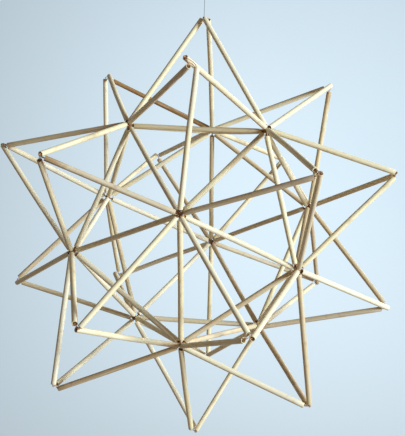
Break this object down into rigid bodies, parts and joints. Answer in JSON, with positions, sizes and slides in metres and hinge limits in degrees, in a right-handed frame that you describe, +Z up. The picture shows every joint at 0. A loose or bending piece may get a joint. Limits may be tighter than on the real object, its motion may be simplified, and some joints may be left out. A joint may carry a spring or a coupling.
{
  "type": "himmeli ornament",
  "caption": "Hanging star of hollow straws: an icosahedron core with a pointed tripod of straws on each face, tied with thread and hung by a thread loop.",
  "frame": {"origin": "inside top of the hanging loop, where it bears on its hook", "axes": "+Z up along the hanging thread, -Y to the front, +X to the right seen from the front"},
  "size_m": [0.3183, 0.297, 0.393],
  "materials": {
    "straw": "satin natural straw",
    "binding_thread": "matt twisted cotton",
    "hanging_thread": "matt twisted cotton"
  },
  "bodies": {
    "loop": {"hanging_loop": "hanging_thread"},
    "knot": {"hanging_knot": "hanging_thread"},
    "thread": {"hanging_thread": "hanging_thread"},
    "star": {"apex_knot": "binding_thread", "core_bottom_1": "straw", "core_bottom_2": "straw", "core_bottom_3": "straw", "core_knots": "binding_thread", "core_lower_bottom_1": "straw", "core_lower_bottom_2": "straw", "core_lower_bottom_3": "straw", "core_lower_bottom_4": "straw", "core_lower_bottom_5": "straw", "core_lower_bottom_6": "straw", "core_threads": "binding_thread", "core_top_1": "straw", "core_top_2": "straw", "core_top_3": "straw", "core_top_lower_1": "straw", "core_top_lower_2": "straw", "core_top_lower_3": "straw", "core_top_upper_1": "straw", "core_top_upper_2": "straw", "core_top_upper_3": "straw", "core_top_upper_4": "straw", "core_top_upper_5": "straw", "core_top_upper_6": "straw", "core_upper_bottom_1": "straw", "core_upper_bottom_2": "straw", "core_upper_bottom_3": "straw", "core_upper_lower_1": "straw", "core_upper_lower_2": "straw", "core_upper_lower_3": "straw", "core_upper_lower_4": "straw", "core_upper_lower_5": "straw", "core_upper_lower_6": "straw", "spike_bottom": "straw", "spike_hip_1": "straw", "spike_hip_2": "straw", "spike_hip_3": "straw", "spike_lower_1": "straw", "spike_lower_2": "straw", "spike_lower_3": "straw", "spike_lower_4": "straw", "spike_lower_5": "straw", "spike_lower_6": "straw", "spike_shoulder_1": "straw", "spike_shoulder_2": "straw", "spike_shoulder_3": "straw", "spike_threads": "binding_thread", "spike_top": "straw", "spike_upper_1": "straw", "spike_upper_2": "straw", "spike_upper_3": "straw", "spike_upper_4": "straw", "spike_upper_5": "straw", "spike_upper_6": "straw", "tip_knots": "binding_thread"}
  },
  "joints": [
    {"name": "swing_sideways", "type": "hinge", "parent": "loop", "child": "knot", "pos_m": [0, 0, -0.022], "axis": [0, 1, 0], "range_deg": [-60, 60]},
    {"name": "swing_fore_aft", "type": "hinge", "parent": "knot", "child": "thread", "pos_m": [0, 0, -0.022], "axis": [1, 0, 0], "range_deg": [-60, 60]},
    {"name": "star_turn", "type": "hinge", "parent": "thread", "child": "star", "pos_m": [0, 0, -0.0561], "axis": [0, 0, 1], "continuous": true}
  ]
}
